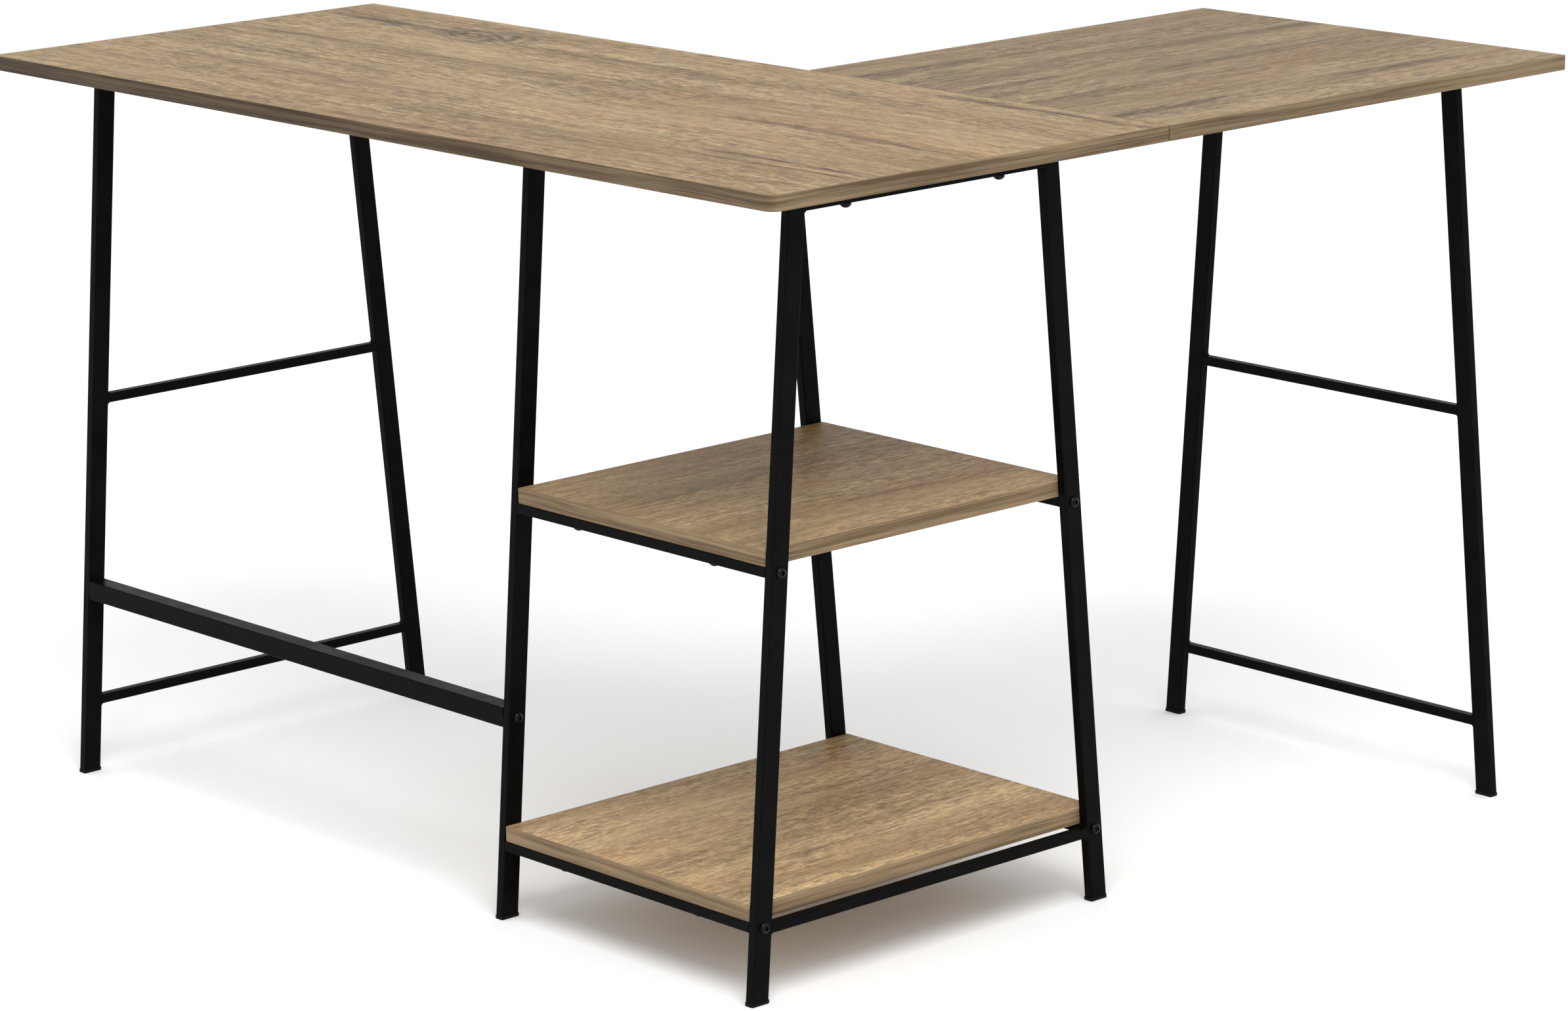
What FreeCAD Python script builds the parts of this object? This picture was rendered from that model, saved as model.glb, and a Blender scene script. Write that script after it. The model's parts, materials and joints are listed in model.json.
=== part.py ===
import FreeCAD, Part
import math
import os

# L-shaped corner desk: a long main top and a return top that meet edge to edge,
# carried by four leaning-leg steel frames, with two shelves hung between the
# two frames at the shared corner.
#
# Axes: +X along the main top towards the shared corner, +Y from the main top's
# outer edge towards the return's free end, +Z up. The origin is on the floor,
# under the middle of the desk's outline. "Outer" is the -Y side of the main
# top's frames and the +X side of the return's frame; "inner" is the other side.

# ---- driving dimensions, mm -------------------------------------------------
MAIN_LENGTH = 1200.0
MAIN_DEPTH = 495.0
RETURN_LENGTH = 570.0
RETURN_WIDTH = 495.0
SEAM_GAP = 1.0
DESK_HEIGHT = 760.0
BOARD = 15.0
EDGE_BAND = 1.0
CORNER_RADIUS = 12.0         # of the main top's right outer corner

FRAME_TUBE = 20.0            # the legs' and top rails' flat tube, in its frame's plane
FRAME_THICKNESS = 10.0       # and across it
RUNG_TUBE = 10.0
STRETCHER_TUBE = 20.0
TUBE_WALL = 1.2
TUBE_CORNER = 1.2            # outside corner radius of every tube

FRAME_TOP_WIDTH = 336.0
FRAME_FOOT_WIDTH = 460.0
FRAME_INSET = 66.0           # from a top's end to the frame's outer side
UPPER_RUNG_HEIGHT = 398.0    # to the middle of the tube
LOWER_RUNG_HEIGHT = 76.5
CROSS_RAIL_HEIGHT = 70.5
STRETCHER_HEIGHT = 197.0

SHELF_BAY = 350.0            # between the two shelf frames
UPPER_SHELF_TOP = 421.0
LOWER_SHELF_TOP = 93.0
SHELF_END_GAP = 0.5
SHELF_RAIL_WIDTH = 20.0      # flat tube laid on its wide side
SHELF_RAIL_HEIGHT = 10.0

FOOT_HEIGHT = 3.5
FOOT_FLARE = 0.6
FOOT_STEM = 14.0
FIT_GAP = 0.05

BOLT_RADIUS = 3.0
BOLT_HOLE_RADIUS = 3.3
BOLT_PITCH = 192.0           # between the two bolts in every rail
HEAD_RADIUS = 5.25
HEAD_HEIGHT = 4.2
HEAD_RIM = 1.6
KEY_ACROSS_FLATS = 4.0
KEY_DEPTH = 2.0
THREAD_DEPTH = 10.0          # how far a bolt reaches into a board
INSERT_RADIUS = 5.0
INSERT_LENGTH = 11.0
RAIL_NUT_LENGTH = 18.0
RAIL_BOLT_GRIP = 14.0        # how far a bolt reaches into a rail's end

PLATE_LENGTH = 120.0
PLATE_WIDTH = 40.0
PLATE_THICKNESS = 2.5
PLATE_INSET = 95.0           # from the return's sides to the plates' middles
SCREW_RADIUS = 2.0
SCREW_LENGTH = 14.0
SCREW_HEAD_RADIUS = 4.0
SCREW_HEAD_HEIGHT = 2.2

# ---- places worked out from them ---------------------------------------------
V = FreeCAD.Vector
UP = V(0, 0, 1)
TO_LEFT = V(-1, 0, 0)
TO_RIGHT = V(1, 0, 0)

LEFT = -MAIN_LENGTH / 2
RIGHT = MAIN_LENGTH / 2
OUTER_EDGE = -(MAIN_DEPTH + SEAM_GAP + RETURN_LENGTH) / 2
MAIN_BACK = OUTER_EDGE + MAIN_DEPTH
RETURN_FRONT = MAIN_BACK + SEAM_GAP
RETURN_END = RETURN_FRONT + RETURN_LENGTH
RETURN_LEFT = RIGHT - RETURN_WIDTH
UNDERSIDE = DESK_HEIGHT - BOARD

MAIN_MIDDLE = OUTER_EDGE + MAIN_DEPTH / 2
RETURN_MIDDLE = RIGHT - RETURN_WIDTH / 2
LEFT_FRAME_X = LEFT + FRAME_INSET
SHELF_RIGHT_FRAME_X = RIGHT - FRAME_INSET - FRAME_THICKNESS
SHELF_LEFT_FRAME_X = SHELF_RIGHT_FRAME_X - SHELF_BAY - FRAME_THICKNESS
RETURN_FRAME_Y = RETURN_END - FRAME_INSET - FRAME_THICKNESS
BAY_LEFT = SHELF_LEFT_FRAME_X + FRAME_THICKNESS
BAY_RIGHT = SHELF_RIGHT_FRAME_X

LEG_SPREAD = (FRAME_FOOT_WIDTH - FRAME_TOP_WIDTH) / 2
LEAN = math.atan(LEG_SPREAD / UNDERSIDE)
FAR = 40.0                   # how far a cutting shape runs past what it cuts


# ---- building blocks ----------------------------------------------------------
def box(low, high):
    size = high.sub(low)
    return Part.makeBox(size.x, size.y, size.z, low)


def prism(outline, start, thickness):
    """A closed outline of (across, up) points, extruded along local +Y from start."""
    points = [V(across, start, up) for across, up in outline]
    face = Part.Face(Part.makePolygon(points + points[:1]))
    return face.extrude(V(0, thickness, 0))


def round_edges_along(solid, direction, radius):
    """Round the straight edges that run along a direction."""
    long_edges = []
    for edge in solid.Edges:
        run = edge.Vertexes[-1].Point.sub(edge.Vertexes[0].Point)
        if run.Length > 0.1 and run.cross(direction).Length < 0.001 * run.Length:
            long_edges.append(edge)
    return solid.makeFillet(radius, long_edges)


def tube_along_x(low, high):
    """A tube between two corners, open at its left and right ends."""
    outside = round_edges_along(box(low, high), TO_RIGHT, TUBE_CORNER)
    inset = V(-FAR, TUBE_WALL, TUBE_WALL)
    return outside.cut(box(low.add(inset), high.sub(inset)))


def aim(shape, direction, point):
    """Turn a shape built along +Z to a direction, and move it to a point."""
    shape.Placement = FreeCAD.Placement(point, FreeCAD.Rotation(UP, direction))
    return shape


def hexagon_prism(across_flats, depth):
    corner = across_flats / math.sqrt(3)
    points = [V(corner * math.cos(math.radians(60 * i)), corner * math.sin(math.radians(60 * i)), 0)
              for i in range(6)]
    return Part.Face(Part.makePolygon(points + points[:1])).extrude(V(0, 0, depth))


def domed_head(radius, height, rim):
    """A button head under z = 0, its flat face up and its dome down."""
    crown = 0.4 * radius
    profile = Part.Wire([
        Part.makeLine(V(0, 0, 0), V(radius, 0, 0)),
        Part.makeLine(V(radius, 0, 0), V(radius, 0, -rim)),
        Part.Arc(V(radius, 0, -rim), V(0.72 * radius, 0, -0.8 * height), V(crown, 0, -height)).toShape(),
        Part.makeLine(V(crown, 0, -height), V(0, 0, -height)),
        Part.makeLine(V(0, 0, -height), V(0, 0, 0)),
    ])
    return Part.Face(profile).revolve(V(0, 0, 0), UP, 360)


def button_bolt(length, direction, point):
    """A socket button-head bolt: its head's seat is at point, its shank runs along direction."""
    key = hexagon_prism(KEY_ACROSS_FLATS, KEY_DEPTH)
    key.translate(V(0, 0, -HEAD_HEIGHT))
    shank = Part.makeCylinder(BOLT_RADIUS, length)
    head = domed_head(HEAD_RADIUS, HEAD_HEIGHT, HEAD_RIM)
    return aim(head.cut(key).fuse(shank), direction, point)


def plate_screw(point):
    """A cross-recess pan-head screw driven upwards, its head's seat at point."""
    head = domed_head(SCREW_HEAD_RADIUS, SCREW_HEAD_HEIGHT, SCREW_HEAD_HEIGHT / 3)
    recess_depth = 1.2
    for half_x, half_y in ((1.9, 0.5), (0.5, 1.9)):
        head = head.cut(box(V(-half_x, -half_y, -SCREW_HEAD_HEIGHT),
                            V(half_x, half_y, recess_depth - SCREW_HEAD_HEIGHT)))
    tip = 3.0
    shank = Part.makeCylinder(SCREW_RADIUS, SCREW_LENGTH - tip)
    cone = Part.makeCone(SCREW_RADIUS, 0.4, tip, V(0, 0, SCREW_LENGTH - tip))
    return aim(head.fuse([shank, cone]), UP, point)


def threaded_insert(point):
    """A sleeve sunk in a board's underside, flush with it, that takes a bolt."""
    sleeve = Part.makeCylinder(INSERT_RADIUS, INSERT_LENGTH)
    bore = Part.makeCylinder(BOLT_RADIUS + FIT_GAP, INSERT_LENGTH)
    return aim(sleeve.cut(bore), UP, point)


# ---- boards -------------------------------------------------------------------
def slab(left, outer, right, inner, low, high, radius):
    """A rectangular slab; a radius above 0 rounds its right outer corner."""
    solid = box(V(left, outer, low), V(right, inner, high))
    if radius > 0:
        corner = [edge for edge in solid.Edges
                  if all(v.Point.sub(V(right, outer, v.Point.z)).Length < 0.01 for v in edge.Vertexes)]
        solid = solid.makeFillet(radius, corner)
    return solid


def board_and_band(left, outer, right, inner, top, radius, insert_points, screw_points):
    """A board drilled from below for its fixings, and the edge band glued round it."""
    low = top - BOARD
    whole = slab(left, outer, right, inner, low, top, radius)
    core = slab(left + EDGE_BAND, outer + EDGE_BAND, right - EDGE_BAND, inner - EDGE_BAND,
                low, top, radius - EDGE_BAND)
    band = whole.cut(core)
    holes = [Part.makeCylinder(INSERT_RADIUS, INSERT_LENGTH, p) for p in insert_points]
    holes += [Part.makeCylinder(SCREW_RADIUS + FIT_GAP, SCREW_LENGTH, p) for p in screw_points]
    return core.cut(holes), band


def shelf(top, insert_points):
    """A shelf that fills the bay, level with the legs' outer faces."""
    half_depth = leg_face(top - BOARD / 2, 0)
    return board_and_band(BAY_LEFT + SHELF_END_GAP, MAIN_MIDDLE - half_depth, BAY_RIGHT - SHELF_END_GAP,
                          MAIN_MIDDLE + half_depth, top, 0, insert_points, [])


# ---- frames, in their own axes: X across, Y through the tube, Z up --------------
def leg_face(height, depth):
    """How far from the frame's middle a leg's face is, depth inside its outer face."""
    outer = FRAME_FOOT_WIDTH / 2 - LEG_SPREAD * height / UNDERSIDE
    return outer - depth / math.cos(LEAN)


def leg_band(low, high, near, far):
    """The part of a leg between two heights and between two depths."""
    return [(leg_face(low, near), low), (leg_face(high, near), high),
            (leg_face(high, far), high), (leg_face(low, far), low)]


def mirrored(shape, side):
    return shape.mirror(V(0, 0, 0), V(1, 0, 0)) if side < 0 else shape


def leg(side, bolt_heights):
    """A leaning leg, mitred into the top rail, drilled through at some heights."""
    corner = UNDERSIDE - FRAME_TUBE
    outline = [(leg_face(FOOT_HEIGHT, 0), FOOT_HEIGHT), (leg_face(UNDERSIDE, 0), UNDERSIDE),
               (leg_face(corner, FRAME_TUBE), corner), (leg_face(FOOT_HEIGHT, FRAME_TUBE), FOOT_HEIGHT)]
    solid = prism(outline, 0, FRAME_THICKNESS)
    solid = round_edges_along(solid, V(-LEG_SPREAD, 0, UNDERSIDE), TUBE_CORNER)
    inside = leg_band(-FAR, UNDERSIDE + FAR, TUBE_WALL, FRAME_TUBE - TUBE_WALL)
    solid = solid.cut(prism(inside, TUBE_WALL, FRAME_THICKNESS - 2 * TUBE_WALL))
    for height in bolt_heights:
        start = V(leg_face(height, 0) - FRAME_TUBE / 2, -FAR, height)
        solid = solid.cut(Part.makeCylinder(BOLT_HOLE_RADIUS, 2 * FAR, start, V(0, 1, 0)))
    return mirrored(solid, side)


def hollow_cross_tube(outline, start, thickness):
    """A level tube that fills an outline, its ends cut to the outline's ends."""
    heights = [up for across, up in outline]
    reach = FRAME_FOOT_WIDTH
    solid = round_edges_along(prism(outline, start, thickness), TO_RIGHT, TUBE_CORNER)
    return solid.cut(box(V(-reach, start + TUBE_WALL, min(heights) + TUBE_WALL),
                         V(reach, start + thickness - TUBE_WALL, max(heights) - TUBE_WALL)))


def top_rail():
    """The rail under a top, mitred to both legs and drilled for its two bolts."""
    low = UNDERSIDE - FRAME_TUBE
    outline = [(-leg_face(UNDERSIDE, 0), UNDERSIDE), (leg_face(UNDERSIDE, 0), UNDERSIDE),
               (leg_face(low, FRAME_TUBE), low), (-leg_face(low, FRAME_TUBE), low)]
    solid = hollow_cross_tube(outline, 0, FRAME_THICKNESS)
    for across in (-BOLT_PITCH / 2, BOLT_PITCH / 2):
        start = V(across, FRAME_THICKNESS / 2, low - FAR)
        solid = solid.cut(Part.makeCylinder(BOLT_HOLE_RADIUS, 3 * FAR, start))
    return solid


def rung(height):
    """A thin cross tube between the two legs, its ends cut to their lean."""
    low = height - RUNG_TUBE / 2
    high = height + RUNG_TUBE / 2
    outline = [(-leg_face(low, FRAME_TUBE), low), (leg_face(low, FRAME_TUBE), low),
               (leg_face(high, FRAME_TUBE), high), (-leg_face(high, FRAME_TUBE), high)]
    return hollow_cross_tube(outline, (FRAME_THICKNESS - RUNG_TUBE) / 2, RUNG_TUBE)


def foot(side):
    """A plug for the open end of a leg, with a flange that stands on the floor."""
    flange = prism(leg_band(0, FOOT_HEIGHT, -FOOT_FLARE, FRAME_TUBE + FOOT_FLARE),
                   -FOOT_FLARE, FRAME_THICKNESS + 2 * FOOT_FLARE)
    flange = round_edges_along(flange, V(-LEG_SPREAD, 0, UNDERSIDE), TUBE_CORNER)
    snug = TUBE_WALL + FIT_GAP
    stem = prism(leg_band(FOOT_HEIGHT, FOOT_HEIGHT + FOOT_STEM, snug, FRAME_TUBE - snug),
                 snug, FRAME_THICKNESS - 2 * snug)
    return mirrored(flange.fuse(stem), side)


def across_main_top(shape, frame_x):
    """Stand a frame part under the main top, its own +X turned to the desk's +Y."""
    shape.rotate(V(0, 0, 0), UP, 90)
    shape.translate(V(frame_x + FRAME_THICKNESS, MAIN_MIDDLE, 0))
    return shape


def across_return(shape):
    """Stand a frame part under the return's free end."""
    shape.translate(V(RETURN_MIDDLE, RETURN_FRAME_Y, 0))
    return shape


# ---- fixings, in the desk's axes --------------------------------------------------
def worktop_bolt_points():
    """Where the bolts through the frames' top rails meet the tops' undersides."""
    points = []
    for frame_x in (LEFT_FRAME_X, SHELF_LEFT_FRAME_X, SHELF_RIGHT_FRAME_X):
        for across in (-BOLT_PITCH / 2, BOLT_PITCH / 2):
            points.append(V(frame_x + FRAME_THICKNESS / 2, MAIN_MIDDLE + across, UNDERSIDE))
    return points


def return_bolt_points():
    return [V(RETURN_MIDDLE + across, RETURN_FRAME_Y + FRAME_THICKNESS / 2, UNDERSIDE)
            for across in (-BOLT_PITCH / 2, BOLT_PITCH / 2)]


def shelf_rail_middle(shelf_top, side):
    """Across and height of a shelf rail's middle; side is -1 for outer, 1 for inner."""
    height = shelf_top - BOARD - SHELF_RAIL_HEIGHT / 2
    return MAIN_MIDDLE + side * (leg_face(height, 0) - SHELF_RAIL_WIDTH / 2), height


def shelf_bolt_points(shelf_top):
    """Where the bolts through a shelf's two rails meet its underside."""
    bay_middle = (BAY_LEFT + BAY_RIGHT) / 2
    points = []
    for side in (-1, 1):
        across, height = shelf_rail_middle(shelf_top, side)
        for along in (-BOLT_PITCH / 2, BOLT_PITCH / 2):
            points.append(V(bay_middle + along, across, height + SHELF_RAIL_HEIGHT / 2))
    return points


def shelf_rail(shelf_top, side):
    """A shelf's flat support rail, drilled upwards for the two bolts that hold the shelf."""
    across, height = shelf_rail_middle(shelf_top, side)
    half_width = SHELF_RAIL_WIDTH / 2
    half_height = SHELF_RAIL_HEIGHT / 2
    solid = tube_along_x(V(BAY_LEFT, across - half_width, height - half_height),
                         V(BAY_RIGHT, across + half_width, height + half_height))
    for point in shelf_bolt_points(shelf_top):
        if abs(point.y - across) < half_width:
            start = V(point.x, point.y, height - FAR / 2)
            solid = solid.cut(Part.makeCylinder(BOLT_HOLE_RADIUS, FAR, start))
    return solid


def end_nut(width, height, end_x, inward, y, z):
    """A threaded plug in the end of a tube of a width and height whose middle is at y, z."""
    half_width = width / 2 - TUBE_WALL - FIT_GAP
    half_height = height / 2 - TUBE_WALL - FIT_GAP
    low_x = min(end_x, end_x + inward * RAIL_NUT_LENGTH)
    plug = box(V(low_x, y - half_width, z - half_height),
               V(low_x + RAIL_NUT_LENGTH, y + half_width, z + half_height))
    return plug.cut(Part.makeCylinder(BOLT_RADIUS + FIT_GAP, RAIL_NUT_LENGTH, V(low_x, y, z), TO_RIGHT))


def end_bolts(left_face, right_face, y, z):
    """The two bolts that pull a rail between two frames, from their outer faces."""
    length = FRAME_THICKNESS + RAIL_BOLT_GRIP
    return [button_bolt(length, TO_RIGHT, V(left_face, y, z)),
            button_bolt(length, TO_LEFT, V(right_face, y, z))]


def shelf_rail_fixings():
    """Bolts and nuts at both ends of the four shelf rails."""
    bolts = []
    nuts = []
    for shelf_top in (UPPER_SHELF_TOP, LOWER_SHELF_TOP):
        for side in (-1, 1):
            y, z = shelf_rail_middle(shelf_top, side)
            bolts += end_bolts(SHELF_LEFT_FRAME_X, SHELF_RIGHT_FRAME_X + FRAME_THICKNESS, y, z)
            for end_x, inward in ((BAY_LEFT, 1), (BAY_RIGHT, -1)):
                nuts.append(end_nut(SHELF_RAIL_WIDTH, SHELF_RAIL_HEIGHT, end_x, inward, y, z))
    return bolts, nuts


def stretcher_parts():
    """The stretcher, its bolts and the nuts in its ends."""
    left = LEFT_FRAME_X + FRAME_THICKNESS
    right = SHELF_LEFT_FRAME_X
    half = STRETCHER_TUBE / 2
    y = MAIN_MIDDLE - leg_face(STRETCHER_HEIGHT, 0) + half
    tube = tube_along_x(V(left, y - half, STRETCHER_HEIGHT - half),
                        V(right, y + half, STRETCHER_HEIGHT + half))
    bolts = end_bolts(LEFT_FRAME_X, BAY_LEFT, y, STRETCHER_HEIGHT)
    nuts = [end_nut(STRETCHER_TUBE, STRETCHER_TUBE, end_x, inward, y, STRETCHER_HEIGHT)
            for end_x, inward in ((left, 1), (right, -1))]
    return tube, bolts, nuts


def plate_centres():
    return [V(x, MAIN_BACK + SEAM_GAP / 2, UNDERSIDE)
            for x in (RETURN_LEFT + PLATE_INSET, RIGHT - PLATE_INSET)]


def plate_screw_points(toward):
    """Screw points of both joining plates; toward is -1 under the main top, 1 under the return."""
    points = []
    for centre in plate_centres():
        for along in (0.2, 0.42):
            points.append(centre.add(V(0, toward * along * PLATE_LENGTH, 0)))
    return points


def joining_plate(centre):
    """A flat plate across the seam under both tops, with four screw holes."""
    plate = box(centre.add(V(-PLATE_WIDTH / 2, -PLATE_LENGTH / 2, -PLATE_THICKNESS)),
                centre.add(V(PLATE_WIDTH / 2, PLATE_LENGTH / 2, 0)))
    plate = round_edges_along(plate, UP, PLATE_WIDTH / 8)
    for point in plate_screw_points(-1) + plate_screw_points(1):
        if abs(point.x - centre.x) < PLATE_WIDTH:
            plate = plate.cut(Part.makeCylinder(SCREW_RADIUS + FIT_GAP, FAR, point.sub(V(0, 0, FAR / 2))))
    return plate


# ---- the whole desk ------------------------------------------------------------------
def boards():
    screws_main = plate_screw_points(-1)
    screws_return = plate_screw_points(1)
    core, band = board_and_band(LEFT, OUTER_EDGE, RIGHT, MAIN_BACK, DESK_HEIGHT, CORNER_RADIUS,
                                worktop_bolt_points(), screws_main)
    nodes = {"main_top_board": core, "main_top_edge_band": band}
    core, band = board_and_band(RETURN_LEFT, RETURN_FRONT, RIGHT, RETURN_END, DESK_HEIGHT, 0,
                                return_bolt_points(), screws_return)
    nodes.update({"return_top_board": core, "return_top_edge_band": band})
    for name, top in (("upper_shelf", UPPER_SHELF_TOP), ("lower_shelf", LOWER_SHELF_TOP)):
        core, band = shelf(top, shelf_bolt_points(top))
        nodes.update({name + "_board": core, name + "_edge_band": band})
    return nodes


def frames():
    rail_holes = [shelf_rail_middle(top, 1)[1] for top in (UPPER_SHELF_TOP, LOWER_SHELF_TOP)]
    stretcher_hole = [STRETCHER_HEIGHT]
    standing = (
        ("left_frame", LEFT_FRAME_X, stretcher_hole, []),
        ("shelf_left_frame", SHELF_LEFT_FRAME_X, rail_holes + stretcher_hole, rail_holes),
        ("shelf_right_frame", SHELF_RIGHT_FRAME_X, rail_holes, rail_holes),
    )
    nodes = {}
    for name, frame_x, outer_holes, inner_holes in standing:
        nodes[name + "_outer_leg"] = across_main_top(leg(-1, outer_holes), frame_x)
        nodes[name + "_inner_leg"] = across_main_top(leg(1, inner_holes), frame_x)
        nodes[name + "_top_rail"] = across_main_top(top_rail(), frame_x)
        nodes[name + "_outer_foot"] = across_main_top(foot(-1), frame_x)
        nodes[name + "_inner_foot"] = across_main_top(foot(1), frame_x)
        if name == "left_frame":
            nodes[name + "_upper_rung"] = across_main_top(rung(UPPER_RUNG_HEIGHT), frame_x)
            nodes[name + "_lower_rung"] = across_main_top(rung(LOWER_RUNG_HEIGHT), frame_x)
        else:
            nodes[name + "_cross_rail"] = across_main_top(rung(CROSS_RAIL_HEIGHT), frame_x)
    nodes["return_frame_outer_leg"] = across_return(leg(1, []))
    nodes["return_frame_inner_leg"] = across_return(leg(-1, []))
    nodes["return_frame_top_rail"] = across_return(top_rail())
    nodes["return_frame_outer_foot"] = across_return(foot(1))
    nodes["return_frame_inner_foot"] = across_return(foot(-1))
    nodes["return_frame_upper_rung"] = across_return(rung(UPPER_RUNG_HEIGHT))
    nodes["return_frame_lower_rung"] = across_return(rung(LOWER_RUNG_HEIGHT))
    return nodes


def rails_and_fixings():
    nodes = {}
    shelf_points = []
    for name, top in (("upper_shelf", UPPER_SHELF_TOP), ("lower_shelf", LOWER_SHELF_TOP)):
        nodes[name + "_outer_rail"] = shelf_rail(top, -1)
        nodes[name + "_inner_rail"] = shelf_rail(top, 1)
        shelf_points += shelf_bolt_points(top)
    worktop_points = worktop_bolt_points() + return_bolt_points()
    rail_bolts, rail_nuts = shelf_rail_fixings()
    stretcher, stretcher_bolts, stretcher_nuts = stretcher_parts()
    screw_points = plate_screw_points(-1) + plate_screw_points(1)
    nodes["stretcher"] = stretcher
    groups = {
        "shelf_rail_bolts": rail_bolts,
        "shelf_rail_end_nuts": rail_nuts,
        "stretcher_bolts": stretcher_bolts,
        "stretcher_end_nuts": stretcher_nuts,
        "worktop_bolts": [button_bolt(FRAME_TUBE + THREAD_DEPTH, UP, p.sub(V(0, 0, FRAME_TUBE)))
                          for p in worktop_points],
        "worktop_inserts": [threaded_insert(p) for p in worktop_points],
        "shelf_bolts": [button_bolt(SHELF_RAIL_HEIGHT + THREAD_DEPTH, UP, p.sub(V(0, 0, SHELF_RAIL_HEIGHT)))
                        for p in shelf_points],
        "shelf_inserts": [threaded_insert(p) for p in shelf_points],
        "joining_plates": [joining_plate(centre) for centre in plate_centres()],
        "joining_screws": [plate_screw(p.sub(V(0, 0, PLATE_THICKNESS))) for p in screw_points],
    }
    for name, solids in groups.items():
        nodes[name] = Part.makeCompound(solids)
    return nodes


def main():
    nodes = {}
    nodes.update(boards())
    nodes.update(frames())
    nodes.update(rails_and_fixings())
    os.makedirs("parts", exist_ok=True)
    for name, shape in nodes.items():
        shape.exportStep(os.path.join("parts", name + ".step"))
    print(len(nodes), "nodes written")


main()
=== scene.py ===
import json
import math
from collections import namedtuple

import bmesh
import bpy
from mathutils import Matrix, Vector


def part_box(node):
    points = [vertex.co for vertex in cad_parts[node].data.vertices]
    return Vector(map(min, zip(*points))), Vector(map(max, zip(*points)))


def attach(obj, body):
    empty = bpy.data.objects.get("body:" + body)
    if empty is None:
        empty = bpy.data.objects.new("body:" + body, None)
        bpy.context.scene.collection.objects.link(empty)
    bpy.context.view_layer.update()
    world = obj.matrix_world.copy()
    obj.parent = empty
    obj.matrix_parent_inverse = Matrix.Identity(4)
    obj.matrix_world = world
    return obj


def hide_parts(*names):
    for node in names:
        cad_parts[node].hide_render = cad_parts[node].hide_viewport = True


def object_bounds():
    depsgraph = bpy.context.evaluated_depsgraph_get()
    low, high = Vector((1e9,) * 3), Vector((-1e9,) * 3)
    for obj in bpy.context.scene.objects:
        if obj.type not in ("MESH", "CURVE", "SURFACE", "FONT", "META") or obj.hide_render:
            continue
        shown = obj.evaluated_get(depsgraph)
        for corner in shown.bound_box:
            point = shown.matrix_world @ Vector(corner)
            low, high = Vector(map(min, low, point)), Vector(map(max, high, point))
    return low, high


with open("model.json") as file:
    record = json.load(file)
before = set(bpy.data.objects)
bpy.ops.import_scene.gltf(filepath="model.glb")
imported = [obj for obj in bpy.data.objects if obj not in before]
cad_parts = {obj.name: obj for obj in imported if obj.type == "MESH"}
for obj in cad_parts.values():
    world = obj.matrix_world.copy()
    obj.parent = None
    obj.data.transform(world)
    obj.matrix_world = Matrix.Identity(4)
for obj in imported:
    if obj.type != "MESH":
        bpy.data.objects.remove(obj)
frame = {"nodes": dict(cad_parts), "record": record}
cad_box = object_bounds()

# The desk stands on z = 0, +X runs along its main top and +Y along its return.
MILLIMETRE = 0.001

# ---- colours, as a screen shows them, 0 to 255 ------------------------------------------
OAK_LIGHT = (154, 131, 95)
OAK_DARK = (115, 93, 62)
OAK_WARM = (140, 110, 76)
OAK_RIM = (126, 108, 82)
STREAK_BROWN = (66, 44, 24)
BAND_LIGHT = (131, 112, 86)
BAND_DARK = (80, 63, 44)
COAT_DARK = (7, 7, 7)
COAT_LIGHT = (11, 11, 11)
PLASTIC_DARK = (7, 7, 8)
PLASTIC_LIGHT = (12, 12, 13)
OXIDE_DARK = (5, 5, 6)
OXIDE_LIGHT = (9, 9, 10)
ZINC_DARK = (176, 178, 182)
ZINC_LIGHT = (204, 206, 208)

# ---- the oak print ----------------------------------------------------------------------
# One layer of noise: its cells to the metre along and across the grain, and its place in the stack.
Grain = namedtuple("Grain", "along across layer detail roughness", defaults=(2.0, 0.5))
# A smooth ramp: a value of low or less becomes at_low, and one of high or more becomes at_high.
Ramp = namedtuple("Ramp", "low high at_low at_high", defaults=(0.0, 1.0))
# A brown streak or a knot: its middle and its size in metres, along and across the grain.
Streak = namedtuple("Streak", "along across length width strength")
Knot = namedtuple("Knot", "along across length width")

SWAY = Grain(along=2.2, across=7, layer=0, detail=3.0)
BANDS = Grain(along=1.1, across=17, layer=3, detail=3.0, roughness=0.55)
FIGURE = Grain(along=7.0, across=110, layer=6, detail=5.0, roughness=0.65)
FIBRE = Grain(along=60, across=620, layer=9, roughness=0.6)
FLECK = Grain(along=210, across=380, layer=12, roughness=0.6)
WARMTH = Grain(along=2.5, across=14, layer=15)
PORES = Grain(along=85, across=950, layer=18, detail=1.0)
DASHES = Grain(along=18, across=260, layer=21, detail=4.0, roughness=0.7)
MOTTLE = Grain(along=50, across=240, layer=24, detail=4.0, roughness=0.72)
WEAR = Grain(along=4, across=18, layer=27)
SAW_MARKS = Grain(along=190, across=90, layer=30, detail=3.0, roughness=0.7)

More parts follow.
